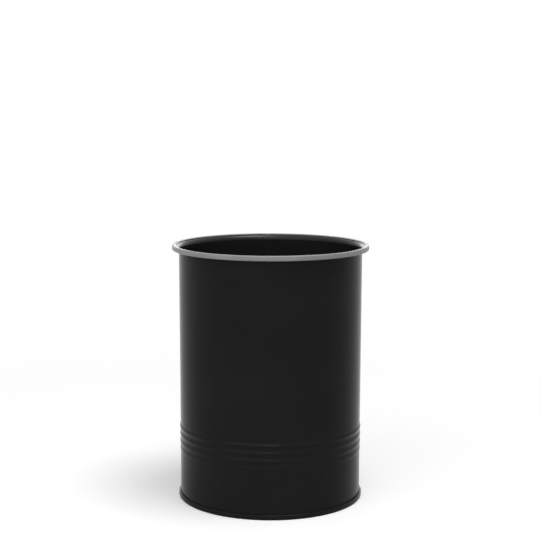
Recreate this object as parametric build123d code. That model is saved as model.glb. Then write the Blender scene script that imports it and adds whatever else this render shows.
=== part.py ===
from build123d import *
from math import copysign, cos, degrees, hypot, radians, tan
import os

# The tin stands on z = 0 with its axis on z, and its side seam is at the back, towards +y.
# All lengths are in millimetres.
overall_height = 180.0
wall_diameter = 127.8           # outside of the plain wall, between its beads and its rim
wall_sheet = 0.4                # thickness of the wall's steel
base_sheet = 0.4
band_sheet = 0.4
fold_play = 0.06                # clearance between two folded layers
seam_turn = 1.7                 # degrees that the back seam stands past +y, seen from above

# Rolled beads, from the top one down
top_bead_height = 50.8          # crest of the top bead above the table
bead_pitch = 5.2
bead_rise = 0.5
bead_rise_shares = (1.0, 0.82, 0.72, 0.48)
bead_crest_share = 0.33         # share of the pitch that the crest's arc takes up

# Double seam at the foot
seam_height = 3.6
fold_flat = 0.1                 # flat at the turn of each hook
hook_end_play = 0.3             # room past the end of each hook
foot_land = 0.64                # width of the flat ring that the tin stands on

# Stamped bottom
panel_recess = 3.6              # height of the panel's underside above the table
panel_bend = 0.9
gutter_rise = 1.0               # how far the gutter by the wall stands above the panel
gutter_width = 2.4
gutter_slope = 1.6
ring_diameter = 78.0
ring_width = 9.0
ring_crown = 6.0
ring_rise = 0.8

# Rolled rim
rim_reach = 5.2                 # how far the rim stands out from the wall
wire_diameter = 2.1
flange_slope = 12.0             # degrees that the wall's flange rises outwards
flare_radius = 3.2              # bend on the underside of the wall's flared edge
shoulder_radius = 0.9           # band's upper bend, which is the top of the tin
lip_cover = 0.64                # how far the band's upper edge lies over the flange
tuck_gap = 0.8                  # gap between the band's lower edge and the wall
tuck_height = 1.0
tuck_radius = 0.7
band_joint_gap = 0.3
wire_joint_gap = 0.6

# Lock seam of the wall
lock_width = 6.0
lock_rise = 0.8                 # thickness of the folded layers inside the wall
lock_end_gap = 3.0              # bare wall between the lock seam and the flare or the bottom
line_width = 0.35               # fine line that the fold leaves outside
line_depth = 0.15
cut_overrun = 0.5

wall_face = wall_diameter / 2
wall_inside = wall_face - wall_sheet

# Layers of the double seam, from the axis outwards
chuck_face = wall_inside - fold_play - base_sheet
cover_hook_face = wall_face + fold_play
body_hook_face = cover_hook_face + base_sheet + fold_play
skirt_face = body_hook_face + wall_sheet + fold_play + base_sheet

hook_floor = base_sheet + fold_play + wall_sheet
body_hook_top = seam_height - base_sheet - hook_end_play
cover_hook_foot = hook_floor + hook_end_play
body_fold_radius = (body_hook_face - wall_face - fold_flat) / 2
cover_fold_radius = base_sheet + fold_play
cover_shoulder = skirt_face - cover_hook_face - fold_flat - cover_fold_radius
foot_radius = (skirt_face - chuck_face - foot_land) / 2
gutter_height = panel_recess + gutter_rise

# Layers of the rim, from the outside in and from the top down
rim_face = wall_face + rim_reach
wire_radius = wire_diameter / 2
flange_end = rim_face - band_sheet - fold_play - wire_radius
flange_depth = band_sheet + fold_play + wall_sheet
lip_face = flange_end - lip_cover
tuck_face = wall_face + tuck_gap


def rim_height(radius, depth):
    """Height, at a radius, of a face that lies the depth below the sloping top of the rim."""
    slope = radians(flange_slope)
    crown = overall_height - shoulder_radius + (shoulder_radius - depth) / cos(slope)
    return crown + (radius - rim_face + shoulder_radius) * tan(slope)


flare_foot = rim_height(wall_face, flange_depth) - flare_radius * tan(radians(90 - flange_slope) / 2)
wire_height = rim_height(flange_end, flange_depth + fold_play + wire_radius)
belly_radius = wire_radius + fold_play + band_sheet
band_under = wire_height - belly_radius

bead_heights = [top_bead_height - row * bead_pitch for row in range(len(bead_rise_shares))]
beads_top = bead_heights[0] + bead_pitch / 2
beads_foot = bead_heights[-1] - bead_pitch / 2
run_top = flare_foot - lock_end_gap
run_foot = gutter_height + base_sheet + lock_end_gap
seam_angle = 90 + seam_turn     # degrees from +x to the back seam


def toward(start, end, distance):
    """Point at a distance from start, on the way to end."""
    share = distance / hypot(end[0] - start[0], end[1] - start[1])
    return (start[0] + (end[0] - start[0]) * share, start[1] + (end[1] - start[1]) * share)


def arc_about(center, first, last, radius):
    """Short arc about a center, from the direction of one point to that of another."""
    start = toward(center, first, radius)
    end = toward(center, last, radius)
    middle = ((start[0] + end[0]) / 2, (start[1] + end[1]) / 2)
    return ThreePointArc(start, toward(center, middle, radius), end)


def bent_line(points, radii, inset):
    """Edges of a line with rounded corners, moved to its right by the inset."""
    spots = [Vector(*point) for point in points]
    runs = [(last - first).normalized() for first, last in zip(spots, spots[1:])]
    rights = [Vector(run.Y, -run.X) for run in runs]
    moved = [spots[0] + rights[0] * inset]
    bends = []
    for corner, radius, before, after in zip(spots[1:-1], radii, rights, rights[1:]):
        moved.append(corner + (before + after) * (inset / (1 + before.dot(after))))
        bends.append(radius + copysign(inset, before.cross(after).Z * inset))
    moved.append(spots[-1] + rights[-1] * inset)
    return FilletPolyline(*moved, radius=bends).edges()


def bead_edges(height, rise, inset):
    """One bead of the wall, from its upper valley to its lower one, on a face inset from the outside."""
    reach = rise / 2 + bead_pitch ** 2 / (8 * rise)
    crest_radius = reach * bead_crest_share
    valley_radius = reach - crest_radius
    crest_center = (wall_face + rise - crest_radius, height)
    crest = (wall_face + rise, height)
    valleys = [(wall_face + valley_radius, height + side * bead_pitch / 2) for side in (1, -1)]
    floors = [(wall_face, height + side * bead_pitch / 2) for side in (1, -1)]
    crest_inset = crest_radius - inset
    valley_inset = valley_radius + inset
    return [
        arc_about(valleys[0], floors[0], crest_center, valley_inset),
        arc_about(crest_center, valleys[0], crest, crest_inset),
        arc_about(crest_center, crest, valleys[1], crest_inset),
        arc_about(valleys[1], crest_center, floors[1], valley_inset),
    ]


def wall_run(top, foot, inset):
    """Upright stretch of the wall with its beads, on a face inset from the outside."""
    face = wall_face - inset
    edges = [Line((face, top), (face, beads_top))]
    for height, rise_share in zip(bead_heights, bead_rise_shares):
        edges += bead_edges(height, bead_rise * rise_share, inset)
    edges.append(Line((face, beads_foot), (face, foot)))
    return edges


def between(face_edges, back_edges):
    """Cut through a sheet, between the lines of edges along its two faces."""
    face, back = Wire(face_edges), Wire(back_edges)
    ends = [Line(face @ end, back @ end) for end in (0, 1)]
    return Plane.XZ * make_face(face_edges + back_edges + ends)


def arc_angle(length, radius):
    return degrees(length / radius)


def across_seam(face, width, radius):
    """Solid of a given width at the back seam."""
    sweep = arc_angle(width, radius)
    return Rot(0, 0, seam_angle - sweep / 2) * revolve(face, Axis.Z, sweep)


def split_ring(face, gap, radius):
    """Ring with a joint gap at the back seam."""
    sweep = arc_angle(gap, radius)
    return Rot(0, 0, seam_angle + sweep / 2) * revolve(face, Axis.Z, 360 - sweep)


def wall_edges(inset):
    """The wall's sheet from the end of its flange to the end of its hook."""
    flange = [(radius, rim_height(radius, flange_depth)) for radius in (flange_end, wall_face)]
    flange.append((wall_face, run_top))
    hook = [(wall_face, run_foot), (wall_face, hook_floor), (body_hook_face, hook_floor),
            (body_hook_face, body_hook_top)]
    return (bent_line(flange, [flare_radius], inset) + wall_run(run_top, run_foot, inset)
            + bent_line(hook, [body_fold_radius] * 2, inset))


def make_side_wall():
    wall = revolve(between(wall_edges(0), wall_edges(wall_sheet)), Axis.Z, 360)
    lock = between(wall_run(run_top, run_foot, wall_sheet / 2),
                   wall_run(run_top, run_foot, wall_sheet + lock_rise))
    line_top, line_foot = flare_foot, seam_height + fold_play
    line = between(wall_run(line_top, line_foot, -cut_overrun), wall_run(line_top, line_foot, line_depth))
    wall += across_seam(lock, lock_width, wall_inside)
    return wall - across_seam(line, line_width, wall_face)


def base_edges(inset):
    """The bottom's sheet from the end of its hook, round the foot, to the middle of the panel."""
    ring_mid = ring_diameter / 2
    gutter_face = chuck_face - gutter_width
    seam = [(cover_hook_face, cover_hook_foot), (cover_hook_face, seam_height), (skirt_face, seam_height),
            (skirt_face, 0), (chuck_face, 0)]
    gutter = [(chuck_face, gutter_height), (gutter_face, gutter_height),
              (gutter_face - gutter_slope, panel_recess)]
    ring = [(ring_mid + ring_width / 2, panel_recess), (ring_mid + ring_crown / 2, panel_recess + ring_rise),
            (ring_mid - ring_crown / 2, panel_recess + ring_rise), (ring_mid - ring_width / 2, panel_recess)]
    radii = [cover_fold_radius, cover_shoulder, foot_radius, foot_radius]
    radii += [panel_bend] * (len(gutter) + len(ring))
    return bent_line(seam + gutter + ring + [(0, panel_recess)], radii, inset)


def make_base_pan():
    return revolve(between(base_edges(0), base_edges(base_sheet)), Axis.Z, 360)


def band_edges(inset):
    """The rim band's sheet from its upper edge on the flange, over the wire, to its tucked lower edge."""
    top = [(radius, rim_height(radius, 0)) for radius in (lip_face, rim_face)]
    roll = [(rim_face, band_under), (tuck_face, band_under), (tuck_face, band_under + tuck_height)]
    return bent_line(top + roll, [shoulder_radius, belly_radius, tuck_radius], inset)


def make_rim_band():
    return split_ring(between(band_edges(0), band_edges(band_sheet)), band_joint_gap, rim_face)


def make_rim_wire():
    section = Plane.XZ * Pos(flange_end, wire_height) * Circle(wire_radius)
    return split_ring(section, wire_joint_gap, flange_end)


nodes = {
    "side_wall": make_side_wall(),
    "base_pan": make_base_pan(),
    "rim_band": make_rim_band(),
    "rim_wire": make_rim_wire(),
}

os.makedirs("parts", exist_ok=True)
for name, solid in nodes.items():
    export_step(solid, f"parts/{name}.step")
    print(name, round(solid.volume, 1))
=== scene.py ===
import math

import bmesh
import bpy
from mathutils import Matrix, Vector


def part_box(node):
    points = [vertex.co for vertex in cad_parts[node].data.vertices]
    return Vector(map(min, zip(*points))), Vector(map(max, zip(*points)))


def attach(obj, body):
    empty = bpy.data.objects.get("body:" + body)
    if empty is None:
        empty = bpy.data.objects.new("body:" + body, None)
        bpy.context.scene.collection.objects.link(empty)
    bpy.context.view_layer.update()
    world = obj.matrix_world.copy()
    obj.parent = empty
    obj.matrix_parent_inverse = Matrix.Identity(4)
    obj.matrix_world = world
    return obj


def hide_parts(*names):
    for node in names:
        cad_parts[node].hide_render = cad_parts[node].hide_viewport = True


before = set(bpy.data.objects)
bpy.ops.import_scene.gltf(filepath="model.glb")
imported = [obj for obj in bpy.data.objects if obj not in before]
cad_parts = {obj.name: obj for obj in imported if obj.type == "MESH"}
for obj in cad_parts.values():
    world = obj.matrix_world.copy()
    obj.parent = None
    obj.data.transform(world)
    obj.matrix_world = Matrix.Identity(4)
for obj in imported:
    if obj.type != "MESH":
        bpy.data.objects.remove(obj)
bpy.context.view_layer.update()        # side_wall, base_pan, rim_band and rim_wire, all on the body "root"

mm = 0.001

tin = {
    "sheet": 0.4 * mm,           # thickness of the folded steel
    "play": 0.06 * mm,           # gap between folded layers
    "seamAngle": 91.7,           # back seam, degrees from +X
    "steps": 192,                # columns round the tin
    "bendSegments": 10,
    "edgeRound": 0.1 * mm,       # rounding of cut sheet edges
    "edgeSegments": 2,
    "edgeAngle": 60,             # an edge that turns more degrees than this is a cut one
    "merge": 0.001 * mm,
}
seam = {                         # double seam at the foot, which joins the base to the wall
    "height": 3.6 * mm,
    "layers": 3,                 # folded layers outside the wall
    "hookRoom": 0.3 * mm,        # past the end of each hook
    "foldFlat": 0.1 * mm,
}


def reach(node):    # widest radius of a CAD node
    return max(math.hypot(v.co.x, v.co.y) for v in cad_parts[node].data.vertices)


layer = tin["sheet"] + tin["play"]
seamAngle = math.radians(tin["seamAngle"])
rimFoot, tinTop = (corner.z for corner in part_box("rim_band"))
rimFace = reach("rim_band")
skirtFace = reach("base_pan")
wallFace = skirtFace - seam["layers"] * layer
wireRadius = (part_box("rim_wire")[1].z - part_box("rim_wire")[0].z) / 2
flangeEnd = reach("rim_wire") - wireRadius
print("frame: top", round(tinTop / mm, 2), "wall radius", round(wallFace / mm, 2), "mm")


# Top edge: the wall flares out into a flange that rises a little, and the rim band lies on it

rim = {
    "slope": 12,                 # degrees that the flange rises outwards
    "shoulder": 0.9 * mm,        # upper bend of the band, which is the top of the tin
    "flareRadius": 3.2 * mm,
    "lean": 0.44 * mm,           # the wall widens a little from the beads to the rim
}
rimSlope = math.radians(rim["slope"])
flangeDepth = layer + tin["sheet"]
wallTop = wallFace + rim["lean"]


def rimHeight(radius, depth):    # height of a face that lies the depth below the rim's sloping top
    crown = tinTop - rim["shoulder"] + (rim["shoulder"] - depth) / math.cos(rimSlope)
    return crown + (radius - rimFace + rim["shoulder"]) * math.tan(rimSlope)


flareTurn = math.pi / 2 - rimSlope
flareFoot = rimHeight(wallTop, flangeDepth) - rim["flareRadius"] * math.tan(flareTurn / 2)


# Mesh tools

def drawLine(points, radii):    # line in the XZ plane, with a radius for each inner point, 0 for none
    bm = bmesh.new()
    verts = [bm.verts.new((x, 0, z)) for x, z in points]
    for pair in zip(verts, verts[1:]):
        bm.edges.new(pair)
    corners = [v.co.copy() for v in verts]
    for i, radius in enumerate(radii, 1):
        if radius:
            turn = (corners[i] - corners[i - 1]).angle(corners[i + 1] - corners[i])
            bmesh.ops.bevel(bm, geom=[verts[i]], offset=radius * math.tan(turn / 2),
                            offset_type="ABSOLUTE", segments=tin["bendSegments"], profile=0.5,
                            affect="VERTICES", material=-1, clamp_overlap=False)
    return bm


def turnLine(bm, start, sweeps):    # spins the line about Z, one sweep after another
    bmesh.ops.rotate(bm, verts=bm.verts, cent=(0, 0, 0), matrix=Matrix.Rotation(start, 3, "Z"))
    geom = bm.verts[:] + bm.edges[:]
    for angle, steps in sweeps:
        geom = bmesh.ops.spin(bm, geom=geom, cent=(0, 0, 0), axis=(0, 0, 1), angle=angle, steps=steps,
                              use_merge=False)["geom_last"]
    bmesh.ops.remove_doubles(bm, verts=bm.verts, dist=tin["merge"])


def thicken(bm, height):    # turns the face nearest this height outwards, and thickens inwards
    bmesh.ops.recalc_face_normals(bm, faces=bm.faces)
    probe = min(bm.faces, key=lambda face: abs(face.calc_center_median().z - height))
    middle = probe.calc_center_median()
    if probe.normal.x * middle.x + probe.normal.y * middle.y < 0:
        bmesh.ops.reverse_faces(bm, faces=bm.faces)
    bmesh.ops.solidify(bm, geom=bm.faces[:], thickness=tin["sheet"])


def easeEdges(bm):    # rounds the cut edges of the sheet
    angle = math.radians(tin["edgeAngle"])
    sharp = [e for e in bm.edges if e.is_manifold and e.calc_face_angle() > angle]
    bmesh.ops.bevel(bm, geom=sharp, offset=tin["edgeRound"], offset_type="OFFSET",
                    segments=tin["edgeSegments"], profile=0.5, affect="EDGES", material=-1,
                    clamp_overlap=True)


def makePiece(name, bm, material, node):
    mesh = bpy.data.meshes.new(name)
    bm.to_mesh(mesh)
    bm.free()
    mesh.shade_smooth()
    mesh.materials.append(material)
    piece = bpy.data.objects.new(name, mesh)
    bpy.context.scene.collection.objects.link(piece)
    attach(piece, "root")
    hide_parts(node)
    print(name, len(mesh.polygons), "faces")
    return piece


def ease(value):    # smooth step from 0 to 1
    value = min(max(value, 0), 1)
    return value * value * (3 - 2 * value)


# Material tools

def newMaterial(name):
    material = bpy.data.materials.new(name)
    material.use_nodes = True
    tree = material.node_tree
    return material, tree, tree.nodes["Principled BSDF"]


def addNode(tree, kind, values=None, **settings):    # values go on sockets, settings on the node
    node = tree.nodes.new(kind)
    for key, value in settings.items():
        setattr(node, key, value)
    for key, value in (values or {}).items():
        if isinstance(value, bpy.types.NodeSocket):
            tree.links.new(value, node.inputs[key])
        else:
            node.inputs[key].default_value = value
    return node


def noise(tree, vector, look):
    return addNode(tree, "ShaderNodeTexNoise", {
        "Vector": vector, "Scale": look["scale"], "Detail": look["detail"]}).outputs["Fac"]


def remap(tree, value, low, high, fromLow=0.3, fromHigh=0.7):    # most of a noise lies from 0.3 to 0.7
    return addNode(tree, "ShaderNodeMapRange", {
        "Value": value, "From Min": fromLow, "From Max": fromHigh,
        "To Min": low, "To Max": high}).outputs["Result"]


def blendColor(tree, factor, first, second):
    ramp = addNode(tree, "ShaderNodeValToRGB", {"Fac": factor})
    ramp.color_ramp.elements[0].color = (*first, 1)
    ramp.color_ramp.elements[1].color = (*second, 1)
    return ramp.outputs["Color"]


def paint(tree, shader, finish, shades, sheen):    # colour and roughness between a finish's two ends
    tree.links.new(blendColor(tree, remap(tree, shades, 0, 1), finish["dark"], finish["light"]),
                   shader.inputs["Base Color"])
    tree.links.new(remap(tree, sheen, *finish["gloss"]), shader.inputs["Roughness"])


def bump(tree, height, look, normal=None):
    values = {"Height": height, "Strength": look["strength"], "Distance": look["depth"]}
    if normal:
        values["Normal"] = normal
    return addNode(tree, "ShaderNodeBump", values).outputs["Normal"]


# Satin black coat: orange peel and grain on a slightly wavy sheet, with faint clouds in colour and gloss

coat = {
    "dark": (0.0118, 0.0118, 0.0118),
    "light": (0.0141, 0.0141, 0.0141),
    "gloss": (0.15, 0.20),
    "specular": 0.055,
    "rubbed": (0.1, 0.17, 0.25, 0.34),    # specular up the flared edge, which use has rubbed
    "rubbedGloss": (0.26, 0.32),
    "cloud": {"scale": 22, "detail": 3},
    "wave": {"scale": 9, "detail": 1, "strength": 0.2, "depth": 0.4 * mm},
    "peel": {"scale": 700, "detail": 2, "strength": 0.25, "depth": 0.03 * mm},
    "grain": {"scale": 3600, "detail": 1, "strength": 0.2, "depth": 0.008 * mm},
}


def makeCoat(name, specular, gloss):
    material, tree, shader = newMaterial(name)
    place = addNode(tree, "ShaderNodeTexCoord").outputs["Object"]
    cloud = noise(tree, place, coat["cloud"])
    paint(tree, shader, {**coat, "gloss": gloss}, cloud, cloud)
    normal = None
    for look in (coat["wave"], coat["peel"], coat["grain"]):
        normal = bump(tree, noise(tree, place, look), look, normal)
    tree.links.new(normal, shader.inputs["Normal"])
    shader.inputs["Specular IOR Level"].default_value = specular
    return material


# Grey rim: satin, with fine streaks that run round the rim

rimFinish = {
    "dark": (0.235, 0.235, 0.235),
    "light": (0.275, 0.275, 0.274),
    "gloss": (0.34, 0.46),
    "cloud": {"scale": 60, "detail": 3},
    "streak": {"scale": 30, "detail": 2, "strength": 0.2, "depth": 0.02 * mm},    # scale along the rim
    "acrossScale": 2600,         # how fine the streaks are across it
}


def makeRimFinish():
    material, tree, shader = newMaterial("greyRim")
    place = addNode(tree, "ShaderNodeTexCoord").outputs["Object"]
    split = addNode(tree, "ShaderNodeSeparateXYZ", {"Vector": place})
    flat = addNode(tree, "ShaderNodeCombineXYZ", {"X": split.outputs["X"], "Y": split.outputs["Y"]})
    radius = addNode(tree, "ShaderNodeVectorMath", {0: flat.outputs["Vector"]}, operation="LENGTH")
    across = addNode(tree, "ShaderNodeMath", {0: radius.outputs["Value"], 1: split.outputs["Z"]},
                     operation="SUBTRACT")
    stretch = rimFinish["acrossScale"] / rimFinish["streak"]["scale"]
    spread = addNode(tree, "ShaderNodeMath", {0: across.outputs["Value"], 1: stretch},
                     operation="MULTIPLY")
    track = addNode(tree, "ShaderNodeCombineXYZ", {"X": split.outputs["X"], "Y": split.outputs["Y"],
                                                   "Z": spread.outputs["Value"]}).outputs["Vector"]
    streak = noise(tree, track, rimFinish["streak"])
    paint(tree, shader, rimFinish, noise(tree, place, rimFinish["cloud"]), streak)
    tree.links.new(bump(tree, streak, rimFinish["streak"]), shader.inputs["Normal"])
    return material


# Drawn steel wire, hidden in the rim but for its ends at the back joint

wireFinish = {
    "dark": (0.35, 0.34, 0.33),
    "light": (0.52, 0.51, 0.49),
    "gloss": (0.28, 0.42),
    "spots": {"scale": 900, "detail": 3},
}


def makeWireFinish():
    material, tree, shader = newMaterial("wireSteel")
    place = addNode(tree, "ShaderNodeTexCoord").outputs["Object"]
    spots = noise(tree, place, wireFinish["spots"])
    paint(tree, shader, wireFinish, spots, spots)
    shader.inputs["Metallic"].default_value = 1
    return material


blackCoat = makeCoat("blackCoat", coat["specular"], coat["gloss"])
rubbedCoats = [makeCoat("rubbedCoat" + str(step), specular, coat["rubbedGloss"])
               for step, specular in enumerate(coat["rubbed"], 1)]
greyRim = makeRimFinish()
wireSteel = makeWireFinish()
print("finishes ready")


# Side wall: flange and flare under the rim, rolled beads, and the hook in the base seam

beads = {
    "topCrest": 50.8 * mm,
    "pitch": 5.2 * mm,
    "rise": 0.5 * mm,
    "riseShares": (1.0, 0.82, 0.72, 0.48),
    "crestShare": 0.33,          # part of the pitch that the crest's arc takes up
    "rows": 16,                  # mesh rows to a bead
}
wallRows = 12                    # mesh rows between the lock seam's upper taper and the beads
lock = {                         # folded seam at the back
    "zone": 8.4 * mm,            # width of the stretch with fine columns
    "columns": 64,
    "width": 6.0 * mm,
    "rise": 0.6 * mm,            # folded layers inside
    "side": 0.45 * mm,           # slope of the fold's sides
    "topGap": 3.0 * mm,          # bare wall between it and the flare
    "foot": 8.0 * mm,
    "taper": 22.0 * mm,          # its layers thin out towards the ends
    "taperRows": 14,
    "lineWidth": 0.4 * mm,       # fine line outside
    "lineDepth": 0.15 * mm,
    "dipWidth": 3.2 * mm,        # shallow dip beside the line
    "dipDepth": 0.05 * mm,
}
hookFloor = layer + tin["sheet"]
hookFace = wallFace + tin["sheet"] + 2 * tin["play"]
hookTop = seam["height"] - tin["sheet"] - seam["hookRoom"]
lockTop = flareFoot - lock["topGap"]


def beadRise(z):    # a crest arc between two valley arcs, for each bead
    half = beads["pitch"] / 2
    for row, share in enumerate(beads["riseShares"]):
        away = abs(z - beads["topCrest"] + row * beads["pitch"])
        if away < half:
            rise = beads["rise"] * share
            centers = rise / 2 + half * half / (2 * rise)
            crestRadius = centers * beads["crestShare"]
            valleyRadius = centers - crestRadius
            if away < half * beads["crestShare"]:
                return rise - crestRadius + math.sqrt(crestRadius ** 2 - away ** 2)
            return valleyRadius - math.sqrt(valleyRadius ** 2 - (half - away) ** 2)
    return 0


def wallAt(z):    # outer radius of the upright wall
    upper = (z - beads["topCrest"]) / (flareFoot - beads["topCrest"])
    return wallFace + beadRise(z) + rim["lean"] * min(max(upper, 0), 1)


def levels(top, foot, count):    # heights from top to foot
    return [top + (foot - top) * i / count for i in range(count + 1)]


def makeWall():
    beadsTop = beads["topCrest"] + beads["pitch"] / 2
    beadsFoot = beadsTop - beads["pitch"] * len(beads["riseShares"])
    heights = levels(lockTop, lockTop - lock["taper"], lock["taperRows"])
    heights += levels(lockTop - lock["taper"], beadsTop, wallRows)[1:-1]
    heights += levels(beadsTop, beadsFoot, beads["rows"] * len(beads["riseShares"]))
    heights += levels(lock["foot"] + lock["taper"], lock["foot"], lock["taperRows"])
    run = [(wallAt(z), z) for z in heights]
    hook = [(wallFace, hookFloor), (hookFace, hookFloor), (hookFace, hookTop)]
    foldRadius = (hookFace - wallFace - seam["foldFlat"]) / 2
    flange = [(radius, rimHeight(radius, flangeDepth)) for radius in (flangeEnd, wallTop)]
    bm = drawLine(flange + run + hook, [rim["flareRadius"]] + [0] * len(run) + [foldRadius] * 2)
    zoneTurn = lock["zone"] / wallFace
    turnLine(bm, seamAngle - zoneTurn / 2,
             [(zoneTurn, lock["columns"]), (2 * math.pi - zoneTurn, tin["steps"])])
    thicken(bm, tinTop / 2)
    pressLock(bm)
    rubFlare(makePiece("tin_wall", bm, blackCoat, "side_wall").data)


def rubFlare(mesh):    # the flared edge reflects more in steps towards the top
    for material in rubbedCoats:
        mesh.materials.append(material)
    steps = len(rubbedCoats)
    for face in mesh.polygons:
        height = (face.center.z - flareFoot) / (tinTop - flareFoot)
        if height > 0:
            face.material_index = 1 + min(int(height * steps), steps - 1)


def pressLock(bm):    # folded strip inside and a fine line outside, along the back seam
    for v in bm.verts:
        radius = math.hypot(v.co.x, v.co.y)
        turn = math.atan2(v.co.y, v.co.x) - seamAngle
        side = abs(math.remainder(turn, 2 * math.pi)) * wallFace
        if side > lock["zone"] / 2:
            continue
        face = wallAt(v.co.z)
        if radius < face - tin["sheet"] / 2:
            fromEnd = min(lockTop - v.co.z, v.co.z - lock["foot"])
            push = lock["rise"] * ease(fromEnd / lock["taper"])
            push *= ease((lock["width"] / 2 - side) / lock["side"])
        elif radius < face + tin["sheet"] / 2 and seam["height"] < v.co.z < flareFoot:
            push = lock["lineDepth"] * ease(1 - 2 * side / lock["lineWidth"])
            push += lock["dipDepth"] * ease(1 - 2 * side / lock["dipWidth"])
        else:
            continue
        v.co.xy *= (radius - push) / radius


makeWall()


# Base: a seamed ring round the foot, a gutter by the wall and a stiffening ring in the panel

base = {
    "footLand": 0.64 * mm,       # flat ring that the tin stands on
    "panelHeight": 3.6 * mm,     # underside of the panel
    "panelBend": 0.9 * mm,
    "gutterHeight": 4.6 * mm,
    "gutterWidth": 2.4 * mm,
    "gutterSlope": 1.6 * mm,
    "ringRadius": 39.0 * mm,
    "ringWidth": 9.0 * mm,
    "ringCrown": 6.0 * mm,
    "ringHeight": 4.4 * mm,
}


def makeBase():
    chuck = wallFace - tin["sheet"] - layer
    cover = wallFace + tin["play"]
    gutter = chuck - base["gutterWidth"]
    ring, wide, crown = base["ringRadius"], base["ringWidth"] / 2, base["ringCrown"] / 2
    panel, ringTop = base["panelHeight"], base["ringHeight"]
    hook = [(cover, hookFloor + seam["hookRoom"]), (cover, seam["height"])]
    skirt = [(skirtFace, seam["height"]), (skirtFace, 0), (chuck, 0)]
    dish = [(chuck, base["gutterHeight"]), (gutter, base["gutterHeight"]),
            (gutter - base["gutterSlope"], panel), (ring + wide, panel),
            (ring + crown, ringTop), (ring - crown, ringTop), (ring - wide, panel)]
    shoulder = skirtFace - cover - seam["foldFlat"] - layer
    footRadius = (skirtFace - chuck - base["footLand"]) / 2
    bm = drawLine(hook + skirt + dish + [(0, panel)],
                  [layer, shoulder] + [footRadius] * 2 + [base["panelBend"]] * len(dish))
    turnLine(bm, seamAngle, [(2 * math.pi, tin["steps"])])
    thicken(bm, seam["height"] / 2)
    makePiece("tin_base", bm, blackCoat, "base_pan")


makeBase()


# Rim band: rolled over the flared edge and the wire, with a butt joint at the back

band = {
    "lipCover": 1.2 * mm,        # its upper edge lies this far over the wall's flange
    "belly": 0.9 * mm,           # lower bend
    "tuckGap": 0.8 * mm,
    "tuckHeight": 1.0 * mm,
    "tuckBend": 0.7 * mm,
    "jointGap": 0.3 * mm,
    "steps": 256,
}


def makeBand():
    tuck = wallTop + band["tuckGap"]
    top = [(radius, rimHeight(radius, 0)) for radius in (flangeEnd - band["lipCover"], rimFace)]
    roll = [(rimFace, rimFoot), (tuck, rimFoot), (tuck, rimFoot + band["tuckHeight"])]
    bm = drawLine(top + roll, [rim["shoulder"], band["belly"], band["tuckBend"]])
    gap = band["jointGap"] / rimFace
    turnLine(bm, seamAngle + gap / 2, [(2 * math.pi - gap, band["steps"])])
    thicken(bm, (rimFoot + tinTop) / 2)
    easeEdges(bm)
    makePiece("rim_band_rolled", bm, greyRim, "rim_band")


makeBand()
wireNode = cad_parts["rim_wire"]
wireNode.data.materials.clear()
wireNode.data.materials.append(wireSteel)
print("tin ready")


# Stage: pale floor, soft studio light, and the photograph's camera

stage = {
    "floorSize": 8.0,
    "floorColor": 0.8,
    "floorBounce": 0.45,         # its colour for the light that it sends back to the tin
    "floorGlow": 0.29,           # a little of its own white, so that the lit floor is plain white
    "shadeEnd": (0.22, 0.6),     # the floor's shading fades to plain white between these distances
    "worldLight": 0.24,
    "worldLean": 0.9,            # how much brighter the left is than the right
}


def lightPathWhite(tree):    # 1 for camera, glossy and transmission rays
    path = addNode(tree, "ShaderNodeLightPath")
    direct, glossy, through = [path.outputs["Is " + kind + " Ray"]
                               for kind in ("Camera", "Glossy", "Transmission")]
    seen = addNode(tree, "ShaderNodeMath", {0: direct, 1: glossy}, operation="MAXIMUM").outputs["Value"]
    return addNode(tree, "ShaderNodeMath", {0: seen, 1: through}, operation="MAXIMUM").outputs["Value"]


footInside = wallFace - 2 * layer    # the floor ends here, under the tin


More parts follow.
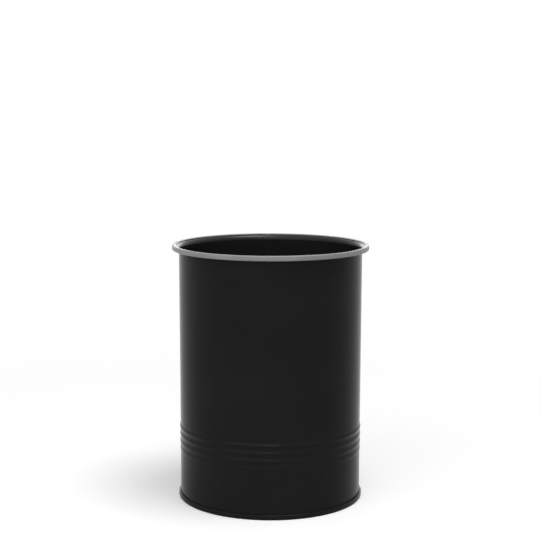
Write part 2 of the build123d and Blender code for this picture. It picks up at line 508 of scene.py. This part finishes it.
def makeFloor():
    bm = bmesh.new()
    bmesh.ops.create_grid(bm, x_segments=1, y_segments=1, size=stage["floorSize"] / 2)
    mesh = bpy.data.meshes.new("floor")
    bm.to_mesh(mesh)
    bm.free()
    floor = bpy.data.objects.new("floor", mesh)
    bpy.context.scene.collection.objects.link(floor)
    material = bpy.data.materials.new("paleFloor")
    material.use_nodes = True
    tree = material.node_tree
    tree.nodes.clear()
    seen = lightPathWhite(tree)
    pale = remap(tree, seen, stage["floorBounce"], stage["floorColor"], 0, 1)
    shade = addNode(tree, "ShaderNodeBsdfDiffuse", {"Color": pale})
    glow = addNode(tree, "ShaderNodeMath", {0: seen, 1: stage["floorGlow"]}, operation="MULTIPLY")
    lift = addNode(tree, "ShaderNodeEmission", {"Color": (1, 1, 1, 1),
                                                "Strength": glow.outputs["Value"]})
    near = addNode(tree, "ShaderNodeAddShader", {0: shade.outputs["BSDF"], 1: lift.outputs["Emission"]})
    white = addNode(tree, "ShaderNodeEmission", {"Color": (1, 1, 1, 1), "Strength": 1})
    place = addNode(tree, "ShaderNodeTexCoord").outputs["Object"]
    away = addNode(tree, "ShaderNodeVectorMath", {0: place}, operation="LENGTH")
    fade = remap(tree, away.outputs["Value"], 0, 1, *stage["shadeEnd"])
    far = addNode(tree, "ShaderNodeMath", {0: fade, 1: seen}, operation="MULTIPLY")
    both = addNode(tree, "ShaderNodeMixShader", {0: far.outputs["Value"], 1: near.outputs["Shader"],
                                                 2: white.outputs["Emission"]})
    below = addNode(tree, "ShaderNodeNewGeometry").outputs["Backfacing"]
    under = addNode(tree, "ShaderNodeMath", {0: away.outputs["Value"], 1: footInside},
                    operation="LESS_THAN")
    # The floor is clear from below and inside the foot ring, so that the underside can be seen
    unseen = addNode(tree, "ShaderNodeMath", {0: below, 1: under.outputs["Value"]}, operation="MAXIMUM")
    clear = addNode(tree, "ShaderNodeBsdfTransparent")
    sided = addNode(tree, "ShaderNodeMixShader", {0: unseen.outputs["Value"], 1: both.outputs["Shader"],
                                                  2: clear.outputs["BSDF"]})
    addNode(tree, "ShaderNodeOutputMaterial", {"Surface": sided.outputs["Shader"]})
    mesh.materials.append(material)


def makeWorld():
    world = bpy.data.worlds.new("studio")
    world.use_nodes = True
    tree = world.node_tree
    tree.nodes.clear()
    place = addNode(tree, "ShaderNodeTexCoord").outputs["Generated"]
    side = addNode(tree, "ShaderNodeSeparateXYZ", {"Vector": place}).outputs["X"]
    level, lean = stage["worldLight"], stage["worldLean"]
    leaning = remap(tree, side, level * (1 + lean), level * (1 - lean), -1, 1)
    strength = addNode(tree, "ShaderNodeMix", {0: lightPathWhite(tree), 2: leaning, 3: 1.0},
                       data_type="FLOAT")
    sky = addNode(tree, "ShaderNodeBackground", {"Color": (1, 1, 1, 1), "Strength": strength.outputs[0]})
    addNode(tree, "ShaderNodeOutputWorld", {"Surface": sky.outputs["Background"]})
    bpy.context.scene.world = world


lamps = [
    {"name": "key", "at": (0.42, -0.28, 1.95), "size": (0.85, 0.85), "watts": 22},
    {"name": "fill", "at": (-0.7, -1.55, 1.05), "size": (2.5, 2.2), "watts": 18},
    {"name": "front", "at": (0.05, -1.75, 0.62), "size": (0.6, 0.6), "watts": 2},
    {"name": "back", "at": (0, 2.2, 0.55), "size": (1.6, 0.9), "watts": 10},
]
aim = Vector((0, 0, tinTop / 2))


def makeLamps():
    for lamp in lamps:
        light = bpy.data.lights.new(lamp["name"], "AREA")
        light.energy = lamp["watts"]
        light.shape = "RECTANGLE"
        light.size, light.size_y = lamp["size"]
        holder = bpy.data.objects.new(lamp["name"], light)
        holder.location = lamp["at"]
        holder.rotation_euler = (aim - Vector(lamp["at"])).to_track_quat("-Z", "Y").to_euler()
        bpy.context.scene.collection.objects.link(holder)


view = {
    "at": (-0.00068, -0.95469, 0.29207),
    "pitch": 82.207,             # degrees from straight down
    "roll": -0.126,
    "lens": 91.206,
    "sensor": 36,
}


def makeCamera():
    lens = bpy.data.cameras.new("view")
    lens.lens = view["lens"]
    lens.sensor_width = view["sensor"]
    camera = bpy.data.objects.new("view", lens)
    camera.location = view["at"]
    camera.rotation_euler = (math.radians(view["pitch"]), math.radians(view["roll"]), 0)
    bpy.context.scene.collection.objects.link(camera)
    bpy.context.scene.camera = camera


makeFloor()
makeWorld()
makeLamps()
makeCamera()
bpy.context.scene.view_settings.view_transform = "Standard"
print("stage ready")
